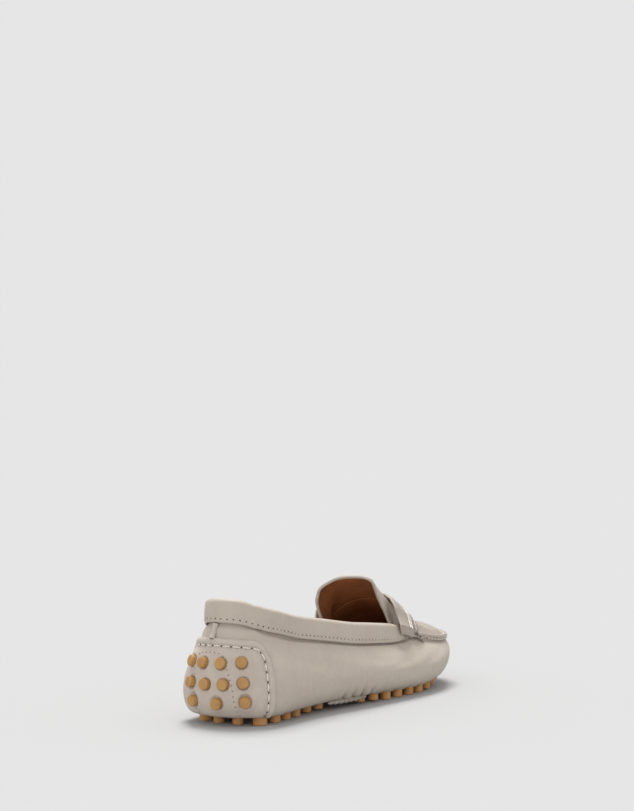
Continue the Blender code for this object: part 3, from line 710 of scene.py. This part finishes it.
# heel piece: a touch lighter
HEEL_CALF = milled_calf("heel_milled_calf", "#C1B5AA", "#B8AC9F", "#C8BCB1", grain=0.0010)
# saddle strap and apron: the same calf painted darker, painted shade that keeps their upward faces from
# looking brighter under the high lamp
TOP_SHADED_CALF = milled_calf("saddle_calf_painted_shade", "#A89D92", "#A0958A", "#B1A69B", grain=0.0010)
# tongue, strip, pleats and bottom panel: duller, with a finer grain
EDGE_CALF = milled_calf("folded_edge_calf", "#BFB4A9", "#B9ADA1", "#C6BCB0", grain=0.0009, rough=0.6)
# inside: warm brown with a low gloss
BROWN_HIDE = lining_hide("glazed_brown_lining", "#A4693F", "#875232")
# studs behind the heel: dull tan
GUM = moulded_gum("moulded_tan_gum", "#B88E58", "#AB7E4B")
# studs under the shoe: more amber
FLOOR_GUM = moulded_gum("moulded_amber_gum", "#D09A63", "#C08850")
# hand-sewn thread: near white, stands out
WHITE_THREAD = bonded_thread("waxed_white_thread", "#EAE4DC", "#CFC6BC")
# machine thread: close to the leather
STONE_THREAD = bonded_thread("waxed_stone_thread", "#D8CFC0", "#BFB4A3")
# painted shade of the holes between stitches: dark, and softer round the apron
HOLE_SHADE = painted_hole_finish("awl_hole_painted_shade", "#3A2C22")
SOFT_HOLE_SHADE = painted_hole_finish("needle_hole_painted_shade", "#6A5A4A")


# The pieces
def round_toe(start, count):
    """Even steps of g from a share of the length outside, round the toe, to the same inside."""
    g = float(going(start))
    return np.linspace(g, 2 - g, count)


def make_upper():
    """The wall all round, the fold on its top edge round the toe, and the apron."""
    cols = spans(0.0, 80, 0.20, 90, 0.62, 50, 1.0)
    cols = np.concatenate([cols, 2 - cols[-2:0:-1]])
    first = lip(cols)
    rows = [first + (0.5 - first) * t for t in np.linspace(0, 1, 9)]
    rows += [np.full_like(cols, h) for h in spans(0.5, 10, 1.0, 46, 1.93, 4, 2.05, 16, 3.0)[1:]]
    faces = sheet_faces(len(rows), len(cols), closed=True)
    wall = piece("upper_wall", [face(cols, r) for r in rows], faces, [UPPER_CALF, BROWN_HIDE], LEATHER, 1)
    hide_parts("upper")
    # inside the raised seam the top edge is folded down to meet the apron
    g = round_toe(SEAM_FOLD_FROM, 420)
    inward = np.concatenate([-outward(g), 0 * g[:, None]], 1)
    steps = ((0.0, 0.0), (0.0008, -0.0003), (0.0017, 0.0), (0.0023, 0.0009), (0.0025, 0.0036))
    rows = [face(g, 3.0) + inward * across - np.array([0, 0, down]) for across, down in steps]
    fold = piece("apron_seam_fold", rows, sheet_faces(len(rows), len(g)), [UPPER_CALF], 0.0003)
    s = station(spans(float(going(THROAT)), 90, 1.0))
    q = -np.cos(np.linspace(0, math.pi, 61))
    # the apron wears the darker calf: painted shade on its upward face
    apron = piece("apron", apron_face(q[None, :], s[:, None]), sheet_faces(len(s), len(q)),
                  [TOP_SHADED_CALF, BROWN_HIDE], LEATHER * 0.8, 1, 1)


def make_moc_seam():
    """Hand sewing along the foot of the raised seam."""
    row = sewing("apron_seam_stitches", face, round_toe(SEAM_SEWN_FROM, 500), 2.22, SEAM_PITCH, 0.60,
                 0.00095, 0.0002, WHITE_THREAD, SOFT_HOLE_SHADE, 0.0009)


def make_bottom_panel():
    """The leather under the shoe, with a small dent round each stud and pleats at the waist."""
    s = station(spans(0.001, 190, 0.999))
    edge = lip(going(s)) - (GAP + 0.55 * LEATHER) / HEEL_ROLL
    middle, past = np.linspace(-1, 1, 75), np.linspace(0.12, 1, 8)
    across = np.concatenate([-1 - past[::-1], middle, 1 + past])
    g, roll = going(s)[:, None], past[None, :] * edge[:, None]
    points = np.concatenate([skin(2 - g, roll)[:, ::-1], ground(s[:, None], middle[None, :]),
                             skin(g, roll)], 1)
    for _, root, wide in floor_studs(HEEL_TREAD) + floor_studs(FRONT_TREAD):
        away = np.hypot(points[..., 0] - root[0], points[..., 1] - root[1])
        points[..., 2] -= 0.0005 * np.exp(-((away - wide / 2 - 0.0009) / 0.0009) ** 2)
    pleat = ramp(0.33, 0.37, s) * (1 - ramp(0.46, 0.49, s))
    wave = np.cos(2 * math.pi * s * LENGTH / 0.0044)
    points[..., 2] -= (0.0005 * pleat * wave)[:, None] * ramp(0.75, 0.98, np.abs(across))[None, :]
    panel = piece("bottom_panel_leather", points, sheet_faces(len(s), len(across), flip=True),
                  [EDGE_CALF], LEATHER * 0.9)
    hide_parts("bottom_panel")


def make_waist_gathers():
    """Soft pleats at the waist, where the upper is gathered to the bottom panel."""
    spokes = ring(np.array([1.0, 0, 0]), np.array([0, 0, 1.0]), 14)
    for side, name in ((1, "outer_waist"), (-1, "inner_waist")):
        s = np.linspace(*WAIST, 260)
        y = s * LENGTH
        x = plan(going(s) if side > 0 else 2 - going(s))[:, 0] - side * 0.0095
        run = np.cumsum(np.hypot(np.gradient(x), np.gradient(y)))
        pleat = np.abs(np.sin(math.pi * run / PLEAT_PITCH))
        ends = np.sin(math.pi * np.linspace(0, 1, len(s))) ** 0.35
        thick = (0.0008 + 0.0012 * pleat ** 0.7) * ends
        middle = np.stack([x, y, bed(y) - 0.0012 + 0 * y], 1)
        points = middle[:, None] + spokes * thick[:, None, None]
        faces = sheet_faces(len(s), len(spokes), closed=True, flip=side < 0)
        pleats = piece(f"{name}_pleats", points, faces, [EDGE_CALF])


def band_settle(g):
    """How far the soft band has sunk at the heel's corners, and stands up in front of them."""
    behind = np.abs(arc(g))
    return (0.0006 * np.exp(-((behind - 0.062) / 0.012) ** 2)
            - 0.0012 * np.exp(-((behind - 0.028) / 0.009) ** 2))


def make_collar_band():
    """Band folded over the top edge, round its front corners, and the machine sewing along it."""
    end = float(going(BAND_FRONT + 0.012))
    half = spans(0.0, 90, 0.2, 130, end)
    cols = np.concatenate([2 - half[:0:-1], half])
    s = station(cols)
    tall = BAND_TALL * last("band", s)
    front = np.clip((station(end) - s) * LENGTH / 0.007, 0, 1)
    corner = 0.42 * (1 - np.sqrt(1 - (1 - front) ** 2))
    out = BAND_PROUD + 0.0001
    back = BAND_PROUD - 2 * BAND_LEATHER - GAP * 3.5 - LEATHER
    mid, half_thick = (out + back) / 2, (out - back) / 2
    top = 1 - 0.0024 / tall
    run = arc_length(cols)
    ripple = 0.00012 * np.sin(run / 0.0031) * np.sin(run / 0.0174 + 1.0)
    rows = []
    for share in np.linspace(0, 1, 22):
        tuck = -0.0008 * (1 - min(1, share * tall.mean() / 0.0011)) ** 2
        swell = (0.0005 + ripple) * math.sin(math.pi * share)
        valley = -0.00018 * np.exp(-((share - 0.22) / 0.05) ** 2)
        rows.append(raised(skin, cols, 2 + corner + (top - corner) * share, out + tuck + swell + valley))
    for turn in np.linspace(0, math.pi, 15)[1:]:
        rows.append(raised(skin, cols, 2 + top + (1 - top) * math.sin(turn),
                           mid + half_thick * math.cos(turn)))
    for share in np.linspace(0, 1, 7)[1:]:
        h = 2 + top - share * (BAND_INSIDE - 0.001) / tall * (1 - 0.5 * (1 - front))
        rows.append(raised(skin, cols, h, back))
    points = np.array(rows)
    points[..., 2] += band_settle(cols)
    band = piece("collar_band", points, sheet_faces(len(rows), len(cols)), [UPPER_CALF], 0.0011)
    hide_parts("collar")
    # the row keeps to the lower edge and turns up along the rounded front corner
    h = 2 + corner + (COLLAR_SEWN / tall) * (1 + 0.6 * (1 - front))
    keep = (station(end) - s) * LENGTH > 0.0028

    def band_face(u, v):
        at = raised(skin, u, v, out + 0.00018)
        at[..., 2] += band_settle(u)
        return at

    row = sewing("collar_stitches", band_face, np.where(cols > 1, cols - 2, cols)[keep],
                 h[keep], COLLAR_PITCH, 0.50, 0.00070, 0.00008, STONE_THREAD, HOLE_SHADE, 0.00085)


def make_tongue():
    """Tongue that dips inside the collar at its sides, and its brown lining."""
    root = THROAT - 3 * GAP / LENGTH

    def lay(a, q):
        tip = curve(TONGUE_EDGE["across"], TONGUE_EDGE["along"], q)
        s = root + (tip - root) * a
        at = vault(s, q * (0.95 + 0.05 * ramp(0.15, 0.45, a)))
        at[..., 2] -= 0.8 * TONGUE_TUCK * ramp(0.3, 0.55, a) * ramp(0.88, 1.0, np.abs(q))
        at[..., 0] -= TONGUE_TUCK * ramp(0.10, 0.45, a) * ramp(0.55, 0.98, np.abs(q)) * np.sign(q)
        return at

    a, q = np.linspace(0, 1, 48), -np.cos(np.linspace(0, math.pi, 57))
    leather = piece("tongue_leather", lay(a[:, None], q[None, :]), sheet_faces(len(a), len(q), flip=True),
                    [EDGE_CALF], TONGUE_LEATHER)
    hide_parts("tongue")
    a, q = np.linspace(0, 0.955, 44), q * 0.985
    flat, up = stand(lay, a[:, None], q[None, :])
    up = np.where(up[..., 2:].mean() > 0, up, -up)
    under_side = flat - up * (TONGUE_LEATHER + 0.00012)
    lining = piece("tongue_lining", under_side, sheet_faces(len(a), len(q)), [BROWN_HIDE], 0.0004)


def make_strap():
    """Saddle strap: its long edges are folded under and its ends are sewn down."""
    cross = spans(-2.0, 12, -1.0, 64, 1.0, 12, 2.0)
    a = (1 - np.cos(np.linspace(0, math.pi, 34))) / 2
    lines, ups = [], []
    for k in cross:
        down = max(0.0, abs(k) - 1)
        rear = STRAP_REAR - 0.012 + 0.008 * down + 0.052 * (1 - min(1.0, abs(k)) ** 2.2)
        s = rear + (STRAP_FRONT + 0.020 * down - rear) * a
        over = (BAND_PROUD + GAP) * (1 - ramp(0.66, 0.68, s))
        if abs(k) > 0.965:
            side = 1 if k > 0 else -1
            lo, hi = (strap_on_wall(s, side, down, 3 * GAP + over + rise) for rise in (0, 1e-3))
        else:
            over = over * float(ramp(0.72, 0.95, abs(k)))
            lo, hi = (raised(arch_from, k, s, 3 * GAP + over + rise) for rise in (0, 1e-3))
        lines.append(lo)
        ups.append(unit(hi - lo))
    base, face_up = np.array(lines).transpose(1, 0, 2), np.array(ups).transpose(1, 0, 2)
    round_edge = (1 - np.abs(2 * a - 1) ** 9) ** 0.5
    ends = 1 - np.clip((np.abs(cross) - 1.86) / 0.14, 0, 1) ** 2
    thick = 0.0003 + (STRAP_LEATHER + 0.0003) * round_edge[:, None] * (0.25 + 0.75 * ends[None, :])
    # two soft folds where the saddle bends over the sides of the instep
    for where, wide, deep in ((-0.62, 0.05, 0.00022), (0.58, 0.05, 0.00025), (0.78, 0.035, 0.0002)):
        thick = thick - deep * np.exp(-((cross - where) / wide) ** 2)[None, :]
    points = base + face_up * thick[..., None]
    for side, name in ((1, "outer"), (-1, "inner")):
        for n, share in enumerate((0.36, 0.58, 0.78)):
            i = int(np.argmin(np.abs(a - share)))
            at = np.where((cross * side > 0.80) & (cross * side < 1.10))[0]
            strap_thread(f"{name}_strap_thread_{n}", points[i, at], face_up[i, at])
    # the strap wears the darker calf: painted shade on its upward face
    strap = piece("saddle_strap", points, sheet_faces(len(a), len(cross)), [TOP_SHADED_CALF], 0.0024)
    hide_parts("strap")


def strap_thread(name, path, up, thick=0.0011, sides=8):
    """One long hand stitch laid over the end of the strap."""
    t = np.linspace(0, 1, len(path))
    side = np.cross(unit(np.gradient(path, axis=0)), up)
    swell = np.clip(np.sin(math.pi * t), 0, 1) ** 0.45 * 0.75 + 0.25
    mid = path + up * (0.25 * thick * swell)[:, None]
    points = mid[:, None] + ring(up, side, sides) * (thick / 2 * swell)[:, None, None]
    piece(name, points, tube_faces(len(path), sides), [WHITE_THREAD])


def strap_on_wall(s, side, down, lift):
    """The strap's ends, which run down over the top line onto the wall."""
    g = going(s) if side > 0 else 2 - going(s)
    tall = BAND_TALL * last("band", s)
    rest = HEEL_HEIGHT * last("top", s) - tall - under(s) - FULLEST * last("belly", s)
    drop = STRAP_DROP * down
    h = np.where(drop < tall, 3 - drop / tall, 2 - (drop - tall) / rest)
    return raised(skin, g, h, lift)


def heel_lift(a, v):
    """Height of the heel piece's face: a rolled border, a valley where it is sewn, then soft leather
    that rises round each stud and tucks in round its foot."""
    g, h = arc_to_g(a), np.vectorize(climbed)(v)
    d = patch_edge(g, h)
    roll = np.sqrt(np.clip(1 - ((d - 0.0017) / 0.0019) ** 2, 0, 1))
    lift = 0.0014 * roll - 0.0003 - 0.0005 * np.exp(-((d - SEWN_IN) / 0.0007) ** 2)
    lift = lift + 0.0008 * ramp(SEWN_IN, SEWN_IN + 0.0045, d)
    run = np.abs(a) + v
    lift = lift + 0.00014 * np.cos(2 * math.pi * run / SEWN_PITCH) * np.exp(-((d - SEWN_IN) / 0.0022) ** 2)
    for around, up in HEEL_STUDS:
        away = np.hypot(a - around * PATCH_WIDE / 2, v - up * PATCH_TALL) - STUD_WIDE / 2
        lift = lift + 0.0004 * np.exp(-((away - 0.0012) / 0.0010) ** 2)
        lift = lift - 0.0008 * (1 - ramp(0.0001, 0.0005, away))
    lift = lift + 0.0002 * np.sin(a / 0.0052 + v / 0.009) * np.sin(v / 0.0047) * ramp(0.004, 0.009, d)
    return lift - 0.0006 * (1 - ramp(-0.0160, -0.0120, v))


def make_heel_patch():
    """Heel piece, in rows from under the shoe to its top."""
    rows = []
    for v in PATCH_LOW + (BORDER_TOP - PATCH_LOW) * np.sin(np.linspace(0, math.pi / 2, 112)):
        over = max(0.0, v - (BORDER_TOP - BORDER_BEND))
        reach = BORDER_HALF - BORDER_BEND + math.sqrt(max(0.0, BORDER_BEND**2 - over**2))
        a = reach * np.sin(np.linspace(-1, 1, 190) * 1.25) / math.sin(1.25)
        rows.append(raised(skin, arc_to_g(a), climbed(v), heel_lift(a, np.full_like(a, v))))
    patch = piece("heel_patch_leather", rows, sheet_faces(len(rows), 190), [HEEL_CALF], PATCH_LEATHER)
    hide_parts("heel_patch")


def make_heel_sewing():
    """Hand sewing round the heel piece, and the fine machine line that loops over it."""
    def valley(g, h):
        return raised(skin, g, h, heel_lift(arc(g), climb(h)))

    half, high, bend = BORDER_HALF - SEWN_IN, BORDER_TOP - SEWN_IN, BORDER_BEND - SEWN_IN
    turn = np.linspace(0, math.pi / 2, 24)
    # up the inner side, across the top and down
    up, corner = np.linspace(SEWN_LOW, high - bend, 31)[:-1], high - bend * (1 - np.sin(turn))
    inner = np.concatenate([np.full(30, -half), -half + bend * (1 - np.cos(turn))])
    a = np.concatenate([inner, np.linspace(-half + bend, half - bend, 60)[1:-1], -inner[::-1]])
    v = np.concatenate([up, corner, np.full(58, high), corner[::-1], up[::-1]])
    h = np.vectorize(climbed)(v)
    hand = sewing("heel_hand_stitches", valley, arc_to_g(a), h, SEWN_PITCH, 0.80, 0.0011, 0.00028,
                  WHITE_THREAD, HOLE_SHADE, 0.00095)
    zero = STUD_TALL + FULLEST
    # around the heel and over the floor, mm
    stops = [(-11.0, 7.5), (-12.0, 14), (-12.8, 22), (-13.8, 31), (-13.9, 36.5), (-12.0, 39.4),
             (-7.5, 40.2), (-1.5, 40.4), (3.7, 39.8), (6.9, 38.2), (8.4, 35.0), (10.0, 30),
             (12.4, 23.5), (14.4, 13), (16.8, 7.0)]
    g, h = through([(x * 1e-3, z * 1e-3 - zero) for x, z in stops], 220)
    fine = sewing("heel_machine_stitches", valley, g, h, MACHINE_PITCH, 0.50, 0.00040, 0.00005,
                  STONE_THREAD, HOLE_SHADE, 0.00062)


def drum(foot, root, wide, sides=26, brim=0.0007):
    """Points and faces of one moulded stud: straight side, rounded brim, faintly domed face."""
    foot, root = np.asarray(foot, float), np.asarray(root, float)
    way = unit(foot - root)
    one = unit(np.cross(way, [0.3, 0.2, 1.0] if abs(way[2]) < 0.9 else [1.0, 0, 0]))
    spoke = ring(one, np.cross(way, one), sides)
    r = wide / 2
    rings = [(root, r), (root * 0.4 + foot * 0.6, r * 0.995)]
    for t in np.linspace(0, math.pi / 2, 6):
        rings.append((foot - way * (brim * (1 - math.sin(t))), r - brim * (1 - math.cos(t))))
    rings.append((foot + way * 0.00002, (r - brim) * 0.5))
    points = [c + spoke * w for c, w in rings]
    points = np.concatenate(points + [[foot + way * 0.00003]])
    faces = sheet_faces(len(rings), sides, closed=True)
    end = len(rings) * sides
    faces += [(end, end - sides + j, end - sides + (j + 1) % sides) for j in range(sides)]
    return points, faces


def stud_field(name, places, node, gum):
    """All the studs of one part, as one piece."""
    drums = [drum(foot, root, wide) for foot, root, wide in places]
    points = np.array([dots for dots, _ in drums])
    field = piece(name, points, many(drums[0][1], *points.shape[:2]), [gum])
    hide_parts(node)


def heel_places():
    """(foot, root, width) of each stud behind the heel."""
    places = []
    for around, up in HEEL_STUDS:
        g, h = float(arc_to_g(around * PATCH_WIDE / 2)), climbed(up * PATCH_TALL)
        places.append((raised(skin, g, h, STUD_PROUD), raised(skin, g, h, -PATCH_LEATHER - RUBBER * 0.6),
                       STUD_WIDE))
    return places


def make_studs():
    stud_field("heel_back_studs_moulded", heel_places(), "heel_back_studs", GUM)
    stud_field("heel_tread_moulded", floor_studs(HEEL_TREAD), "heel_tread", FLOOR_GUM)
    stud_field("forefoot_tread_moulded", floor_studs(FRONT_TREAD), "forefoot_tread", FLOOR_GUM)


def make_heel_strip():
    """Rolled strip that covers the closing seam between the patch and the collar."""
    low = climbed(BORDER_TOP - 0.0006)
    rows, sides = 26, 18
    hs = np.linspace(low, 1.985, rows)
    g = float(arc_to_g(-0.0032))
    middle = raised(skin, g, hs, 0.0004 + 0.0008 * np.exp(-((hs - low) / 0.05) ** 2))
    _, up = stand(skin, g, hs)
    wide = STRIP_WIDE / 2 * (1 + 0.10 * np.sin(np.linspace(0, 7.5, rows))
                             + 0.18 * np.linspace(1, -1, rows) ** 2)
    points = middle[:, None] + ring(wide[:, None] * np.array([1.0, 0, 0]), up * 0.0013, sides)
    strip = piece("heel_strip_leather", points, sheet_faces(rows, sides, closed=True), [EDGE_CALF])
    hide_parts("heel_strip")


def make_insole():
    """Brown sock, its edges turned up a little against the wall."""
    lift = LEATHER + RUBBER + 3 * GAP

    def rim(g):
        s = station(g)
        recess = (PATCH_LEATHER + RUBBER + 3 * GAP) * (1 - ramp(0.09, 0.13, s))
        at = plan(g) - outward(g) * (INSOLE_IN + recess)[..., None]
        return np.concatenate([at, (bed(at[..., 1]) + lift)[..., None]], -1)

    s = station(np.linspace(0.004, 0.996, 150))
    q = np.linspace(-1, 1, 50)
    g, m = going(s), (1 + q) / 2
    points = rim(2 - g)[:, None] * (1 - m)[None, :, None] + rim(g)[:, None] * m[None, :, None]
    points[..., 2] += INSOLE_THICK + 0.0006 * (q ** 4)[None, :]
    sock = piece("insole_sock", points, sheet_faces(len(s), len(q)), [BROWN_HIDE], INSOLE_THICK * 0.9)
    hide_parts("insole")


# The floor, the light and the camera
BACKDROP = tone("#E6E6E6")[0]     # the tent's light
SUN_SHARE = 1.0                   # what each lamp adds to the floor, against the tent
FILL_SHARE = 0.05
FLOOR_SHADE = 1 / (1 + SUN_SHARE + FILL_SHARE)   # paper that comes out as light as the tent


def make_floor():
    """White paper sweep, evenly lit, that runs out of sight."""
    mesh = bpy.data.meshes.new("paper_sweep")
    mesh.from_pydata([(-60, -60, 0), (60, -60, 0), (60, 60, 0), (-60, 60, 0)], [], [(0, 1, 2, 3)])
    floor = placed("paper_sweep", mesh)
    mat, _, shader, _ = blank("matt_white_paper")
    feed(shader, {"Base Color": (FLOOR_SHADE,) * 3 + (1.0,), "Roughness": 1.0, "Specular IOR Level": 0.0})
    mesh.materials.append(mat)


def make_light():
    """An even white tent, a broad soft lamp high above and behind, and a weak one at the heel."""
    world = bpy.data.worlds.new("white_tent")
    bpy.context.scene.world = world
    world.use_nodes = True
    feed(world.node_tree.nodes["Background"], {"Color": (BACKDROP,) * 3 + (1.0,), "Strength": 1.0})
    for name, share, spread, aim in (("broad_lamp", SUN_SHARE, 26, (0.26, -0.34, -1.0)),
                                     ("heel_side_lamp", FILL_SHARE, 40, (-0.30, 0.92, -0.25))):
        lamp = bpy.data.lights.new(name, "SUN")
        lamp.angle = math.radians(spread)
        aim = Vector(aim).normalized()
        lamp.energy = math.pi * BACKDROP * share / abs(aim.z)
        placed(name, lamp).rotation_euler = aim.to_track_quat("-Z", "Y").to_euler()


def make_camera():
    lens = bpy.data.cameras.new("camera")
    lens.lens = LENS
    lens.sensor_width = 36.0
    lens.clip_end = 200.0
    holder = placed("camera", lens)
    turn, tip = math.radians(EYE_TURN), math.radians(EYE_TIP)
    holder.location = Vector(EYE) + Vector(SHIFT)
    aim = Vector((-math.sin(turn) * math.cos(tip), math.cos(turn) * math.cos(tip), math.sin(tip)))
    holder.rotation_euler = aim.to_track_quat("-Z", "Y").to_euler()
    bpy.context.scene.camera = holder


make_upper()
make_moc_seam()
make_bottom_panel()
make_waist_gathers()
make_collar_band()
make_tongue()
make_strap()
make_heel_patch()
make_heel_sewing()
make_studs()
make_heel_strip()
make_insole()
make_floor()
make_light()
make_camera()
bpy.context.scene.view_settings.view_transform = "Standard"

bpy.context.view_layer.update()
